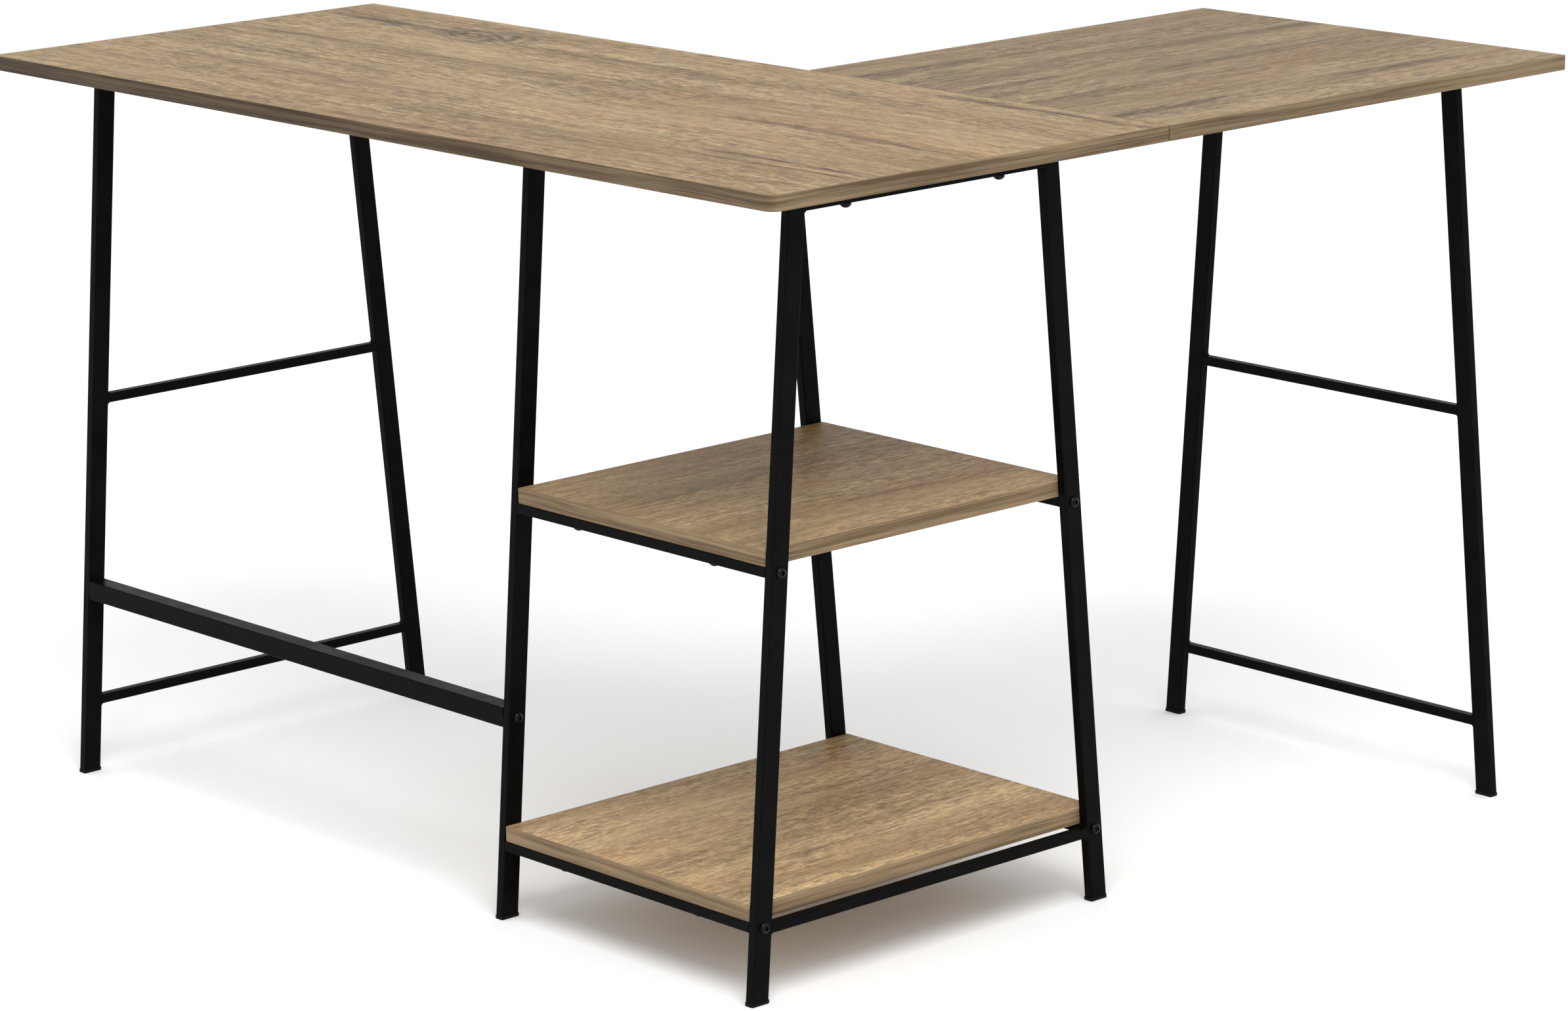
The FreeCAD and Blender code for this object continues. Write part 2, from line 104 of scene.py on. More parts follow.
NOISE_MIDDLE = 0.5
SWAY_REACH = 0.035
WOOD_WEIGHTS = (0.42, 0.28, 0.13, 0.17)
WOOD_SHARE = Ramp(0.39, 0.61)
WARM_SHARE = Ramp(0.45, 0.70, 0.0, 0.5)
MOTTLE_TONE = Ramp(0.38, 0.62, 0.21, -0.34)
SAW_MARK_TONE = Ramp(0.36, 0.64, 0.07, -0.10)
WEAR_STRENGTH = Ramp(0.38, 0.60, 0.6, 1.2)
PORE_SPOTS = Ramp(0.60, 0.72)
PORE_TONE = Ramp(0.0, 1.0, 1.0, 0.74)
OAK_ROUGHNESS = Ramp(0.3, 0.7, 0.52, 0.44)
OAK_REFLECTION = 0.12
OAK_RELIEF = 0.12 * MILLIMETRE
RELIEF_WEIGHTS = (0.5, 0.3, -0.5)

STREAK_FULL_REACH = 0.25
STREAK_FADED_REACH = 0.55
STREAK_DASHES = Ramp(0.40, 0.60, 0.15, 1.35)
DARKEST_STREAK = 0.9
KNOT_RING_SPEED = 17.0
KNOT_WOBBLE = 1.2
KNOT_REACH = Ramp(0.3, 1.8, 1.0, 0.0)
KNOT_RINGS = Ramp(-0.6, 0.7, 0.20, 1.25)

MAIN_STREAKS = (
    Streak(along=-0.45, across=-0.116, length=0.26, width=0.014, strength=0.9),
    Streak(along=-0.10, across=-0.128, length=0.34, width=0.016, strength=0.4),
    Streak(along=-0.26, across=-0.388, length=0.66, width=0.030, strength=0.5),
    Streak(along=0.50, across=-0.411, length=0.30, width=0.011, strength=1.0),
    Streak(along=0.50, across=-0.433, length=0.24, width=0.008, strength=0.7),
    Streak(along=0.42, across=-0.280, length=0.40, width=0.012, strength=0.6),
    Streak(along=-0.48, across=-0.230, length=0.24, width=0.009, strength=0.5),
    Streak(along=0.45, across=-0.064, length=0.34, width=0.013, strength=0.85),
    Streak(along=0.08, across=-0.512, length=0.34, width=0.012, strength=0.5),
)
MAIN_KNOT = Knot(along=-0.318, across=-0.106, length=0.058, width=0.028)
RETURN_STREAKS = (
    Streak(along=0.04, across=0.527, length=0.22, width=0.016, strength=1.0),
    Streak(along=0.36, across=0.518, length=0.26, width=0.016, strength=0.65),
    Streak(along=0.05, across=0.178, length=0.28, width=0.022, strength=0.8),
    Streak(along=0.44, across=0.268, length=0.26, width=0.016, strength=0.5),
    Streak(along=0.30, across=0.362, length=0.40, width=0.022, strength=0.45),
    Streak(along=0.02, across=0.320, length=0.22, width=0.010, strength=0.6),
)
UPPER_SHELF_STREAKS = (
    Streak(along=-0.24, across=0.437, length=0.17, width=0.008, strength=0.5),
    Streak(along=-0.36, across=0.300, length=0.22, width=0.010, strength=0.3),
)
LOWER_SHELF_STREAKS = (
    Streak(along=-0.31, across=0.438, length=0.18, width=0.012, strength=0.5),
    Streak(along=-0.20, across=0.300, length=0.22, width=0.010, strength=0.35),
)

# ---- the edge bands' print, and the painted shade on their outer side -------------------
BAND_SWAY = Grain(along=6, across=40, layer=0)
BAND_STRIPES = Grain(along=3.5, across=300, layer=3, detail=4.0, roughness=0.6)
BAND_FIBRE = Grain(along=40, across=1500, layer=6)
BAND_PATCHES = Grain(along=5, across=60, layer=9)

BAND_SWAY_REACH = 0.006
BAND_WEIGHTS = (0.55, 0.15, 0.30)
BAND_SHARE = Ramp(0.36, 0.62)
# Painted shade on the bands' -Y faces: which faces take it, and the x over which it changes from its left
# to its right strength.
OUTER_SIDE_PAINTED_SHADE = Ramp(-0.95, -0.30, 1.0, 0.0)
PAINTED_SHADE_LEFT_X = -0.60
PAINTED_SHADE_RIGHT_X = 0.45
RIM_SHARE = Ramp(0.3, 0.9)
BAND_ROUGHNESS = Ramp(0.3, 0.7, 0.55, 0.46)
BAND_REFLECTION = 0.16
BAND_RELIEF = 0.06 * MILLIMETRE

# ---- steel and plastic ------------------------------------------------------------------
EVEN_SHARE = Ramp(0.3, 0.7)
COAT_PEEL_CELLS = 900.0
COAT_CLOUD_CELLS = 35.0
COAT_ROUGHNESS = Ramp(0.3, 0.7, 0.34, 0.42)
COAT_REFLECTION = 0.03
COAT_RELIEF = 0.02 * MILLIMETRE
PLASTIC_CELLS = 1800.0
PLASTIC_ROUGHNESS = Ramp(0.3, 0.7, 0.55, 0.68)
PLASTIC_REFLECTION = 0.10
PLASTIC_RELIEF = 0.04 * MILLIMETRE
SCRATCHES = Grain(along=2600, across=260, layer=0, detail=3.0)
BLOOM = Grain(along=120, across=120, layer=4)
SCRATCH_RELIEF = 0.01 * MILLIMETRE
OXIDE_ROUGHNESS = Ramp(0.3, 0.7, 0.26, 0.40)
OXIDE_REFLECTION = 0.14
ZINC_ROUGHNESS = Ramp(0.3, 0.7, 0.30, 0.44)
ZINC_REFLECTION = 0.5


# ---- materials --------------------------------------------------------------------------
def linear(colour):
    """A screen colour as the linear colour that a shader takes."""
    shares = [channel / 255 for channel in colour]
    return [s / 12.92 if s <= 0.04045 else ((s + 0.055) / 1.055) ** 2.4 for s in shares] + [1.0]


class Finish:
    """A material, and short calls for the nodes that it is made of."""

    def __init__(self, name):
        self.material = bpy.data.materials.new(name)
        self.material.use_nodes = True
        self.tree = self.material.node_tree
        self.shader = self.tree.nodes["Principled BSDF"]

    def node(self, kind, inputs, **settings):
        """A new node, with its settings set and its inputs linked or set."""
        made = self.tree.nodes.new(kind)
        for name, value in settings.items():
            setattr(made, name, value)
        for name, value in inputs.items():
            self.feed(made.inputs[name], value)
        return made

    def feed(self, socket, value):
        """Link a socket to another node's output, or set its value."""
        if isinstance(value, bpy.types.NodeSocket):
            self.tree.links.new(value, socket)
        else:
            socket.default_value = value

    def surface(self, **values):
        """Set or link the shader's own sockets; a word's underscores stand for spaces."""
        for name, value in values.items():
            self.feed(self.shader.inputs[name.replace("_", " ")], value)

    def place(self):
        """The point's x, y and z in the desk's own frame."""
        coordinates = self.tree.nodes.new("ShaderNodeTexCoord").outputs["Object"]
        return self.node("ShaderNodeSeparateXYZ", {0: coordinates}).outputs[:]

    def facing(self):
        """The x, y and z of the way that the surface faces."""
        normal = self.tree.nodes.new("ShaderNodeNewGeometry").outputs["Normal"]
        return self.node("ShaderNodeSeparateXYZ", {0: normal}).outputs[:]

    def math(self, operation, *values):
        inputs = dict(enumerate(values))
        return self.node("ShaderNodeMath", inputs, operation=operation).outputs[0]

    def total(self, *values):
        result = values[0]
        for value in values[1:]:
            result = self.math("ADD", result, value)
        return result

    def weighted(self, values, weights):
        """The total of values, each times its weight."""
        return self.total(*(self.math("MULTIPLY", v, w) for v, w in zip(values, weights)))

    def ramped(self, value, ramp):
        """A value taken smoothly through a ramp."""
        inputs = dict(enumerate((value, *ramp)))
        return self.node("ShaderNodeMapRange", inputs, interpolation_type="SMOOTHSTEP").outputs[0]

    def noise(self, point, detail, roughness=0.5):
        """Smooth noise from about 0.25 to 0.75, one cell to each unit of its point."""
        inputs = {"Vector": point, "Scale": 1.0, "Detail": detail, "Roughness": roughness}
        return self.node("ShaderNodeTexNoise", inputs).outputs[0]

    def grain(self, layer, along, across, sheet):
        """One layer of the print on a sheet; sheets with numbers far apart differ."""
        point = self.node("ShaderNodeCombineXYZ", {
            0: self.math("MULTIPLY", along, layer.along),
            1: self.math("MULTIPLY", across, layer.across),
            2: sheet + layer.layer,
        }).outputs[0]
        return self.noise(point, layer.detail, layer.roughness)

    def even_noise(self, cells_per_metre, detail):
        """Noise that is as fine in all three directions."""
        x, y, z = self.place()
        point = self.node("ShaderNodeCombineXYZ", {0: x, 1: y, 2: z}).outputs[0]
        inputs = {0: point, "Scale": cells_per_metre}
        return self.noise(self.node("ShaderNodeVectorMath", inputs, operation="SCALE").outputs[0], detail)

    def mix(self, share, first, second):
        """A colour between two, which are screen colours or other nodes' outputs."""
        first, second = (c if isinstance(c, bpy.types.NodeSocket) else linear(c) for c in (first, second))
        inputs = {0: share, 6: first, 7: second}
        return self.node("ShaderNodeMix", inputs, data_type="RGBA").outputs[2]

    def scaled(self, colour, factor):
        """A colour multiplied by a number that varies over the surface."""
        factors = self.node("ShaderNodeCombineXYZ", {0: factor, 1: factor, 2: factor}).outputs[0]
        return self.node("ShaderNodeVectorMath", {0: colour, 1: factors}, operation="MULTIPLY").outputs[0]

    def bump(self, height, depth):
        """A normal from a height of 0 to 1 that stands for a depth in metres."""
        inputs = {"Height": height, "Distance": depth, "Strength": 1.0}
        return self.node("ShaderNodeBump", inputs).outputs[0]


def streak_shade(f, along, across, streaks, dashes):
    """How dark the printed heartwood streaks are at a point, broken up into dashes."""
    shades = []
    for s in streaks:
        fading = Ramp(STREAK_FULL_REACH * s.length, STREAK_FADED_REACH * s.length, 1.0, 0.0)
        from_middle = f.math("ABSOLUTE", f.math("SUBTRACT", along, s.along))
        from_line = f.math("ABSOLUTE", f.math("SUBTRACT", across, s.across))
        core = f.ramped(from_line, Ramp(0.0, s.width, s.strength, 0.0))
        shades.append(f.math("MULTIPLY", f.ramped(from_middle, fading), core))
    return f.math("MULTIPLY", f.total(*shades), f.ramped(dashes, STREAK_DASHES))


def knot_shade(f, along, across, knot, wobble):
    """How dark a knot's rings are at a point; distances are in parts of its length and width."""
    part_along = f.math("DIVIDE", f.math("SUBTRACT", along, knot.along), knot.length)
    part_across = f.math("DIVIDE", f.math("SUBTRACT", across, knot.across), knot.width)
    squares = f.weighted((part_along, part_across), (part_along, part_across))
    off_round = f.math("MULTIPLY", f.math("SUBTRACT", wobble, NOISE_MIDDLE), KNOT_WOBBLE)
    distance = f.total(f.math("SQRT", squares), off_round)
    rings = f.math("SINE", f.math("MULTIPLY", distance, KNOT_RING_SPEED))
    return f.math("MULTIPLY", f.ramped(distance, KNOT_REACH), f.ramped(rings, KNOT_RINGS))


def oak(name, grain_axis, streaks, knot=None, *, sheet, painted_light_tone):
    """Printed rough-sawn oak laminate.

    Its tone makes it lighter or darker: painted light and shade, a brightness set for the light
    that falls on that one board.
    """
    f = Finish(name)
    x, y, _ = f.place()
    along, across = (x, y) if grain_axis == "X" else (y, x)
    sway = f.math("SUBTRACT", f.grain(SWAY, along, across, sheet), NOISE_MIDDLE)
    across = f.total(across, f.math("MULTIPLY", sway, SWAY_REACH))
    bands, figure, fibre, fleck, warmth, pores, dashes, mottle, wear, saw_marks = (
        f.grain(layer, along, across, sheet)
        for layer in (BANDS, FIGURE, FIBRE, FLECK, WARMTH, PORES, DASHES, MOTTLE, WEAR, SAW_MARKS))
    pores = f.ramped(pores, PORE_SPOTS)

    wood = f.weighted((bands, figure, fibre, fleck), WOOD_WEIGHTS)
    colour = f.mix(f.ramped(wood, WOOD_SHARE), OAK_DARK, OAK_LIGHT)
    colour = f.mix(f.ramped(warmth, WARM_SHARE), colour, OAK_WARM)
    brown = streak_shade(f, along, across, streaks, dashes)
    if knot is not None:
        brown = f.math("MAXIMUM", brown, knot_shade(f, along, across, knot, figure))
    colour = f.mix(f.math("MINIMUM", brown, DARKEST_STREAK), colour, STREAK_BROWN)

    rough_sawn = f.total(f.ramped(mottle, MOTTLE_TONE), f.ramped(saw_marks, SAW_MARK_TONE))
    rough_sawn = f.math("MULTIPLY", rough_sawn, f.ramped(wear, WEAR_STRENGTH))
    # Painted light and shade: the whole print is scaled by the board's tone, so each board of the one
    # laminate is lit or shaded in its colour.
    colour = f.scaled(colour, f.math("MULTIPLY", f.total(1.0, rough_sawn), painted_light_tone))
    colour = f.scaled(colour, f.ramped(pores, PORE_TONE))

    relief = f.weighted((fibre, fleck, pores), RELIEF_WEIGHTS)
    f.surface(Base_Color=colour, Roughness=f.ramped(figure, OAK_ROUGHNESS),
              Specular_IOR_Level=OAK_REFLECTION, Normal=f.bump(relief, OAK_RELIEF))
    return f.material


def oak_band(name, *, sheet, painted_light_tone, left_painted_shade=1.0, right_painted_shade=1.0):
    """Printed edge band: fine stripes along the edge, made lighter or darker by its tone,
    which is painted light and shade set for the light that falls on that band.

    Its outer side, which faces -Y, is also darkened by a painted shade along the main top,
    from its left-end strength to its right-end strength."""
    f = Finish(name)
    x, y, z = f.place()
    _, facing_y, facing_z = f.facing()
    along = f.total(x, y)
    sway = f.math("SUBTRACT", f.grain(BAND_SWAY, along, z, sheet), NOISE_MIDDLE)
    across = f.total(z, f.math("MULTIPLY", sway, BAND_SWAY_REACH))
    stripes, fibre, patches = (
        f.grain(layer, along, across, sheet) for layer in (BAND_STRIPES, BAND_FIBRE, BAND_PATCHES))
    wood = f.weighted((stripes, fibre, patches), BAND_WEIGHTS)
    colour = f.mix(f.ramped(wood, BAND_SHARE), BAND_DARK, BAND_LIGHT)

    # Painted shade: the band's -Y faces are darkened, more towards the main top's left end.
    painted_side_shade = f.ramped(x, Ramp(PAINTED_SHADE_LEFT_X, PAINTED_SHADE_RIGHT_X, left_painted_shade, right_painted_shade))
    painted_shade_change = f.math("MULTIPLY", f.ramped(facing_y, OUTER_SIDE_PAINTED_SHADE), f.math("SUBTRACT", painted_side_shade, 1.0))
    # Painted light and shade: the whole band is scaled by its tone, set for the light that falls on that
    # band.
    colour = f.scaled(colour, f.math("MULTIPLY", f.total(1.0, painted_shade_change), painted_light_tone))
    colour = f.mix(f.ramped(facing_z, RIM_SHARE), colour, OAK_RIM)
    f.surface(Base_Color=colour, Roughness=f.ramped(fibre, BAND_ROUGHNESS),
              Specular_IOR_Level=BAND_REFLECTION, Normal=f.bump(fibre, BAND_RELIEF))
    return f.material


def powder_coat(name):
    """Satin black powder coat, with a faint orange peel."""
    f = Finish(name)
    peel = f.even_noise(COAT_PEEL_CELLS, 2.0)
    cloud = f.even_noise(COAT_CLOUD_CELLS, 2.0)
    f.surface(Base_Color=f.mix(f.ramped(cloud, EVEN_SHARE), COAT_DARK, COAT_LIGHT),
              Roughness=f.ramped(cloud, COAT_ROUGHNESS),
              Specular_IOR_Level=COAT_REFLECTION, Normal=f.bump(peel, COAT_RELIEF))
    return f.material


def moulded_plastic(name):
    """Black moulded plastic, matt and finely grained."""
    f = Finish(name)
    fine = f.even_noise(PLASTIC_CELLS, 3.0)
    f.surface(Base_Color=f.mix(f.ramped(fine, EVEN_SHARE), PLASTIC_DARK, PLASTIC_LIGHT),
              Roughness=f.ramped(fine, PLASTIC_ROUGHNESS),
              Specular_IOR_Level=PLASTIC_REFLECTION, Normal=f.bump(fine, PLASTIC_RELIEF))
    return f.material


def hardware(name, dark, light, roughness, *, metallic, reflection):
    """Plated or blackened steel with fine scratches; roughness is a ramp."""
    f = Finish(name)
    x, y, z = f.place()
    scratches = f.grain(SCRATCHES, f.total(x, y), z, sheet=0)
    bloom = f.grain(BLOOM, x, y, sheet=0)
    f.surface(Base_Color=f.mix(f.ramped(bloom, EVEN_SHARE), dark, light),
              Roughness=f.ramped(scratches, roughness), Metallic=metallic,
              Specular_IOR_Level=reflection, Normal=f.bump(scratches, SCRATCH_RELIEF))
    return f.material


def finishes():
    """The desk's materials, by the node that takes them or by the record's slot."""
    # Each board's and band's tone is painted light and shade: the desk's one laminate is made lighter or
    # darker for the light on each board.
    return {
        # The main top band's -Y side also has a painted shade, darkest at its left end.
        "main_top_board": oak("oak_main_top", "X", MAIN_STREAKS, MAIN_KNOT, sheet=1.7, painted_light_tone=1.10),
        "return_top_board": oak("oak_return_top", "Y", RETURN_STREAKS, sheet=31.3, painted_light_tone=0.88),
        "upper_shelf_board": oak("oak_upper_shelf", "Y", UPPER_SHELF_STREAKS, sheet=52.9, painted_light_tone=1.30),
        "lower_shelf_board": oak("oak_lower_shelf", "Y", LOWER_SHELF_STREAKS, sheet=74.1, painted_light_tone=1.62),
        "main_top_edge_band": oak_band("oak_band_main_top", sheet=5.5, painted_light_tone=1.0,
                                       left_painted_shade=0.38, right_painted_shade=0.72),
        "return_top_edge_band": oak_band("oak_band_return_top", sheet=15.5, painted_light_tone=0.95),
        "upper_shelf_edge_band": oak_band("oak_band_upper_shelf", sheet=25.5, painted_light_tone=1.15),
        "lower_shelf_edge_band": oak_band("oak_band_lower_shelf", sheet=35.5, painted_light_tone=1.25),
        "black_steel": powder_coat("black_powder_coat"),
        "black_plastic": moulded_plastic("black_moulded_plastic"),
        "black_bolt": hardware("black_oxide", OXIDE_DARK, OXIDE_LIGHT, OXIDE_ROUGHNESS,
                               metallic=0.0, reflection=OXIDE_REFLECTION),
        "zinc_steel": hardware("zinc_plate", ZINC_DARK, ZINC_LIGHT, ZINC_ROUGHNESS,
                               metallic=1.0, reflection=ZINC_REFLECTION),
    }


# ---- mesh building ----------------------------------------------------------------------
SHARP_ANGLE = math.radians(38)


def lofted(name, rings, close_ends):
    """An object through rings of equally many points, its ends closed or joined to each other."""
    built = bmesh.new()
    rows = [[built.verts.new(point) for point in ring] for ring in rings]
    count = len(rows[0])
    row_pairs = list(zip(rows, rows[1:]))
    if not close_ends:
        row_pairs.append((rows[-1], rows[0]))
    for lower, upper in row_pairs:
        for i in range(count):
            built.faces.new((lower[i], lower[(i + 1) % count], upper[(i + 1) % count], upper[i]))
    if close_ends:
        built.faces.new(list(reversed(rows[0])))
        built.faces.new(rows[-1])
    return finished_piece(name, built)


def finished_piece(name, built):
    """An object from a bmesh, its normals facing out and its hard edges kept sharp."""
    bmesh.ops.recalc_face_normals(built, faces=built.faces)
    mesh = bpy.data.meshes.new(name)
    built.to_mesh(mesh)
    built.free()
    mesh.shade_smooth()
    mesh.set_sharp_from_angle(angle=SHARP_ANGLE)
    piece = bpy.data.objects.new(name, mesh)
    bpy.context.scene.collection.objects.link(piece)
    return piece


def rounded_rectangle(low, high, radii, steps):
    """Points of a rectangle's outline, its corners rounded, each by its own radius.

    The corners are taken anticlockwise from the lowest one."""
    corners = ((low.x, low.y, 1, 1), (high.x, low.y, -1, 1),
               (high.x, high.y, -1, -1), (low.x, high.y, 1, -1))
    points = []
    for quarter, ((x, y, inward_x, inward_y), radius) in enumerate(zip(corners, radii)):
        middle = Vector((x + inward_x * radius, y + inward_y * radius))
        for step in range(steps + 1):
            angle = math.pi + (quarter + step / steps) * math.pi / 2
            points.append(middle + radius * Vector((math.cos(angle), math.sin(angle))))
    return points


def quarter_round(radius, steps):
    """(inset, depth) pairs round an edge, from its flat end face out to its side."""
    angles = [math.pi / 2 * step / steps for step in range(steps + 1)]
    return [(radius * (1 - math.sin(a)), radius * (1 - math.cos(a))) for a in angles]


# ---- edge bands -------------------------------------------------------------------------
BAND_THICKNESS = 1.0 * MILLIMETRE
BAND_ARRIS = 0.45 * MILLIMETRE
BAND_ARRIS_STEPS = 4
BAND_CORNER = 1.3 * MILLIMETRE
BAND_CORNER_STEPS = 8
GLUE_GROOVE = 0.12 * MILLIMETRE
WORKTOP_CORNER = 12.0 * MILLIMETRE


def band_profile(low, high):
    """(inset, height) pairs round a band's section: glue groove, arris, face, arris, glue groove."""
    arris = quarter_round(BAND_ARRIS, BAND_ARRIS_STEPS)
    top = [(BAND_THICKNESS, high - GLUE_GROOVE), (BAND_THICKNESS - GLUE_GROOVE, high)]
    top += [(inset, high - depth) for inset, depth in arris]
    bottom = [(inset, low + depth) for inset, depth in reversed(arris)]
    bottom += [(BAND_THICKNESS - GLUE_GROOVE, low), (BAND_THICKNESS, low + GLUE_GROOVE)]
    return top + bottom


def edge_band(node, corner_radius):
    """A band round a board; corner_radius rounds the right outer corner."""
    low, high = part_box(node)
    rings = []
    for inset, height in band_profile(low.z, high.z):
        shrink = Vector((inset, inset, 0))
        radii = [radius - inset for radius in (BAND_CORNER, corner_radius, BAND_CORNER, BAND_CORNER)]
        outline = rounded_rectangle(low + shrink, high - shrink, radii, BAND_CORNER_STEPS)
        rings.append([(p.x, p.y, height) for p in outline])
    return lofted(node + "_rounded", rings, close_ends=False)


# ---- frames: feet and welds -------------------------------------------------------------
FOOT_FLANGE = 3.5 * MILLIMETRE
FOOT_ROUNDING = 0.8 * MILLIMETRE
FOOT_ROUNDING_STEPS = 6
FOOT_CORNER = 1.8 * MILLIMETRE
FOOT_CORNER_STEPS = 5
WELD_SIZE = 2.6 * MILLIMETRE
MITRE_WELD_SIZE = 3.4 * MILLIMETRE
WELD_INSET = 0.9 * MILLIMETRE
WELD_SECTIONS = 15
WELD_CURVE = (0.0, 0.2, 0.4, 0.6, 0.8, 1.0)
WELD_FULLNESS = 0.70
WELD_RIPPLE = 0.10
WELD_RIPPLE_SPEED = 26.0
WELD_END_TAPER = 0.25
WELD_END_POWER = 8


class FramePlane:
    """A frame's own axes: across its width, through its tube, and up."""

    def __init__(self, name):
        self.name = name
        self.turned = name != "return_frame"
        rail_low, rail_high = self.box("top_rail")
        self.middle = (rail_low.x + rail_high.x) / 2
        leg_low, leg_high = self.box("outer_leg")
        foot_reach = max(self.middle - leg_low.x, leg_high.x - self.middle)
        top_reach = (rail_high.x - rail_low.x) / 2
        self.lean = (foot_reach - top_reach) / (rail_high.z - leg_low.z)

    def box(self, part):
        """A part's corners, as (across, through, up)."""
        return [self.turn(corner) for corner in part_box(self.name + "_" + part)]

    def turn(self, point):
        """From the desk's axes to the frame's, and the same back again."""
        return Vector((point.y, point.x, point.z)) if self.turned else Vector(point)

    def side(self, low, high):
        """The side of the frame's middle that a part with these corners is on, -1 or 1."""
        return 1 if (low.x + high.x) / 2 > self.middle else -1

    def along_leg(self, side, up):
        """The direction up (1) or down (-1) the leg on a side."""
        return Vector((-side * self.lean * up, 0, up)).normalized()


def rounded_foot(plane, part):
    """The plug's flange under a leg, its bottom edge rounded and its top edge finely bevelled."""
    low, high = plane.box(part)
    side = plane.side(low, high)
    levels = quarter_round(FOOT_ROUNDING, FOOT_ROUNDING_STEPS)
    levels += [(0.0, FOOT_FLANGE - GLUE_GROOVE), (2 * GLUE_GROOVE, FOOT_FLANGE)]
    rings = []
    for inset, height in levels:
        shift = Vector((-side * plane.lean * height, 0, 0))
        shrink = Vector((inset, inset, 0))
        outline = rounded_rectangle(low + shift + shrink, high + shift - shrink,
                                    [FOOT_CORNER - inset] * 4, FOOT_CORNER_STEPS)
        rings.append([plane.turn(Vector((p.x, p.y, low.z + height))) for p in outline])
    return lofted(plane.name + "_" + part + "_moulded", rings, close_ends=True)


def weld_bead(built, plane, corner, first, second, size, depths):
    """A rippled fillet between two directions that meet at a corner, over depths through the tube."""
    low, high = depths
    rows = []
    for i in range(WELD_SECTIONS):
        share = i / (WELD_SECTIONS - 1)
        taper = WELD_END_TAPER * (2 * share - 1) ** WELD_END_POWER
        ripple = 1 + WELD_RIPPLE * math.sin(share * WELD_RIPPLE_SPEED) - taper
        through = low + (high - low) * share
        row = []
        for t in WELD_CURVE:
            fullness = WELD_FULLNESS * t * (1 - t)
            step = first * ((1 - t) ** 2 + fullness) + second * (t ** 2 + fullness)
            point = corner + step * size * ripple
            row.append(built.verts.new(plane.turn(Vector((point.x, through, point.z)))))
        row.append(built.verts.new(plane.turn(Vector((corner.x, through, corner.z)))))
        rows.append(row)
    for one, other in zip(rows, rows[1:]):
        for i in range(len(one)):
            j = (i + 1) % len(one)
            built.faces.new((one[i], one[j], other[j], other[i]))
    built.faces.new(rows[0])
    built.faces.new(list(reversed(rows[-1])))


def weld_depths(low, high):
    """Where a weld starts and ends through a tube with these corners."""
    return low.y + WELD_INSET, high.y - WELD_INSET


def frame_welds(plane, cross_tubes):
    """The fillets above and below each cross tube's ends, and inside the top corners."""
    built = bmesh.new()
    for tube in cross_tubes:
        low, high = plane.box(tube)
        rise = plane.lean * (high.z - low.z)
        depths = weld_depths(low, high)
        for side, end in ((-1, low.x), (1, high.x)):
            inward = Vector((-side, 0, 0))
            over = Vector((end - side * rise, 0, high.z))
            under = Vector((end, 0, low.z))
            weld_bead(built, plane, over, inward, plane.along_leg(side, 1), WELD_SIZE, depths)
            weld_bead(built, plane, under, inward, plane.along_leg(side, -1), WELD_SIZE, depths)
    rail_low, rail_high = plane.box("top_rail")
    depths = weld_depths(rail_low, rail_high)
    for part in ("outer_leg", "inner_leg"):
        low, high = plane.box(part)
        side = plane.side(low, high)
        corner = Vector((low.x if side > 0 else high.x, 0, rail_low.z))
        down = plane.along_leg(side, -1)
        weld_bead(built, plane, corner, Vector((-side, 0, 0)), down, MITRE_WELD_SIZE, depths)
    return finished_piece(plane.name + "_welds", built)


# ---- putting it together ----------------------------------------------------------------
BOARD_CORNERS = {
    "main_top": WORKTOP_CORNER,
    "return_top": BAND_CORNER,
    "upper_shelf": BAND_CORNER,
    "lower_shelf": BAND_CORNER,
}
CROSS_TUBES = {
    "left_frame": ("upper_rung", "lower_rung"),
    "shelf_left_frame": ("cross_rail",),
    "shelf_right_frame": ("cross_rail",),
    "return_frame": ("upper_rung", "lower_rung"),
}


def dress(piece, material, slot, *replaced):
    """Finish a new piece: its material, the body that it rides on and what it stands for."""
    piece.data.materials.append(material)
    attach(piece, "root")
    if replaced:
        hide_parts(*replaced)


def paint_cad_nodes(materials):
    """Give each CAD node its own material, or else its slot's."""
    for part in frame["record"]["subparts"]:
        node = part["node"]
        material = materials.get(node) or materials[part["material_slot"]]
        for place in frame["nodes"][node].material_slots:
            place.material = material


def build_pieces(materials):
    """Remake the edge bands and the feet, and add the welds."""
    for board, radius in BOARD_CORNERS.items():
        node = board + "_edge_band"
        dress(edge_band(node, radius), materials[node], "oak_edge_band", node)
    for name, tubes in CROSS_TUBES.items():
        plane = FramePlane(name)
        for part in ("outer_foot", "inner_foot"):
            foot = rounded_foot(plane, part)
            dress(foot, materials["black_plastic"], "black_plastic", name + "_" + part)
        dress(frame_welds(plane, tubes), materials["black_steel"], "black_steel")


# ---- studio -----------------------------------------------------------------------------
CAMERA_PLACE = (3.8760, -3.4698, 1.5562)
CAMERA_HEADING = math.radians(138.053)
CAMERA_PITCH = math.radians(-13.684)
CAMERA_ROLL = math.radians(-0.989)
CAMERA_LENS = 118.69
CAMERA_FAR_LIMIT = 100.0
FLOOR_REACH = 40.0
FLOOR_WHITE = 0.95
FLOOR_ROUGHNESS = 0.9
SOFTBOX_PLACE = (2.6, -1.8, 4.4)
SOFTBOX_WIDTH = 3.0
SOFTBOX_WATTS = 150


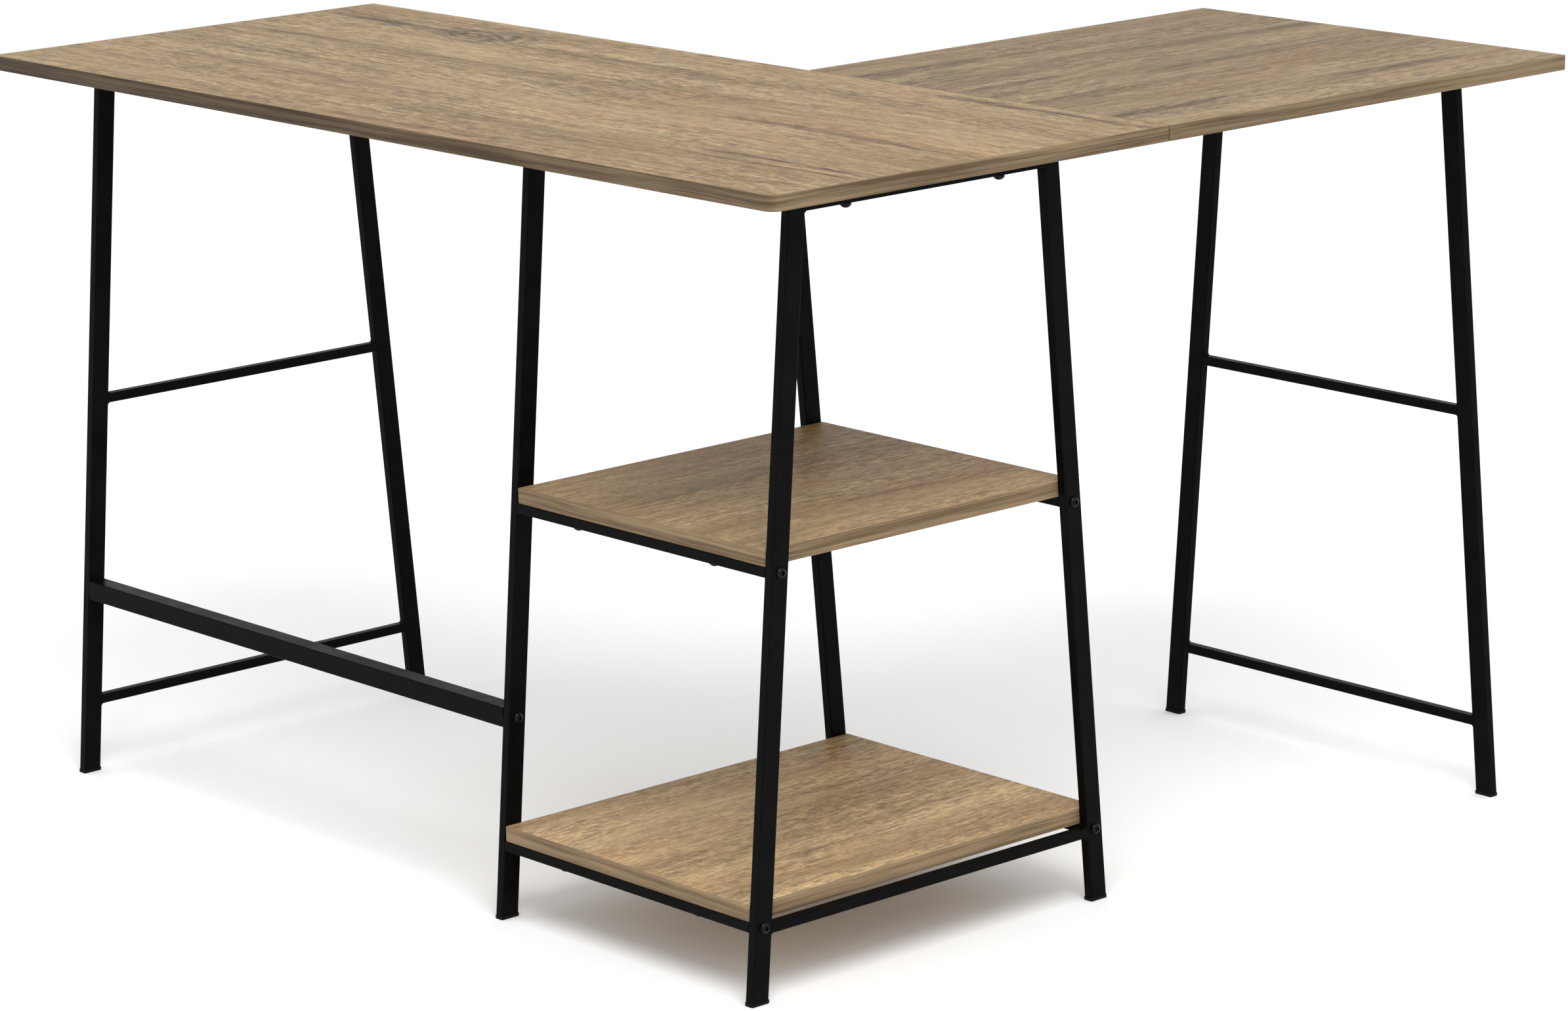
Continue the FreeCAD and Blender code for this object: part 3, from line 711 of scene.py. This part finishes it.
def add_camera():
    """The camera looks down a little at the desk's shared corner; its heading is from +X."""
    level_forward = Vector((math.cos(CAMERA_HEADING), math.sin(CAMERA_HEADING), 0))
    forward = math.cos(CAMERA_PITCH) * level_forward + math.sin(CAMERA_PITCH) * Vector((0, 0, 1))
    level = forward.cross(Vector((0, 0, 1))).normalized()
    rise = level.cross(forward)
    right = math.cos(CAMERA_ROLL) * level + math.sin(CAMERA_ROLL) * rise
    up = math.cos(CAMERA_ROLL) * rise - math.sin(CAMERA_ROLL) * level
    data = bpy.data.cameras.new("camera")
    data.lens = CAMERA_LENS
    data.clip_end = CAMERA_FAR_LIMIT
    camera = bpy.data.objects.new("camera", data)
    turn = Matrix((right, up, -forward)).transposed().to_4x4()
    camera.matrix_world = Matrix.Translation(CAMERA_PLACE) @ turn
    bpy.context.scene.collection.objects.link(camera)
    bpy.context.scene.camera = camera


def add_softbox(target):
    """One large soft light, high up on the camera's side of the desk and turned to the target."""
    data = bpy.data.lights.new("key", "AREA")
    data.shape = "DISK"
    data.size = SOFTBOX_WIDTH
    data.energy = SOFTBOX_WATTS
    lamp = bpy.data.objects.new("key", data)
    lamp.location = SOFTBOX_PLACE
    lamp.rotation_mode = "QUATERNION"
    lamp.rotation_quaternion = (target - Vector(SOFTBOX_PLACE)).to_track_quat("-Z", "Y")
    bpy.context.scene.collection.objects.link(lamp)


def add_floor():
    """A wide pale floor under the desk's feet."""
    built = bmesh.new()
    corners = [(-1, -1), (1, -1), (1, 1), (-1, 1)]
    height = cad_box[0].z
    built.faces.new([built.verts.new((FLOOR_REACH * x, FLOOR_REACH * y, height)) for x, y in corners])
    floor = finished_piece("floor", built)
    f = Finish("pale_floor")
    f.surface(Base_Color=(FLOOR_WHITE, FLOOR_WHITE, FLOOR_WHITE, 1.0), Roughness=FLOOR_ROUGHNESS)
    floor.data.materials.append(f.material)


def add_studio():
    """A pale floor in a white room, lit by the room and by one softbox."""
    add_floor()
    world = bpy.data.worlds.new("white_room")
    world.use_nodes = True
    sky = world.node_tree.nodes["Background"]
    sky.inputs["Color"].default_value = (1.0, 1.0, 1.0, 1.0)
    sky.inputs["Strength"].default_value = 1.0
    bpy.context.scene.world = world
    add_softbox((cad_box[0] + cad_box[1]) / 2)
    bpy.context.scene.view_settings.view_transform = "Standard"


materials = finishes()
paint_cad_nodes(materials)
build_pieces(materials)
add_studio()
add_camera()
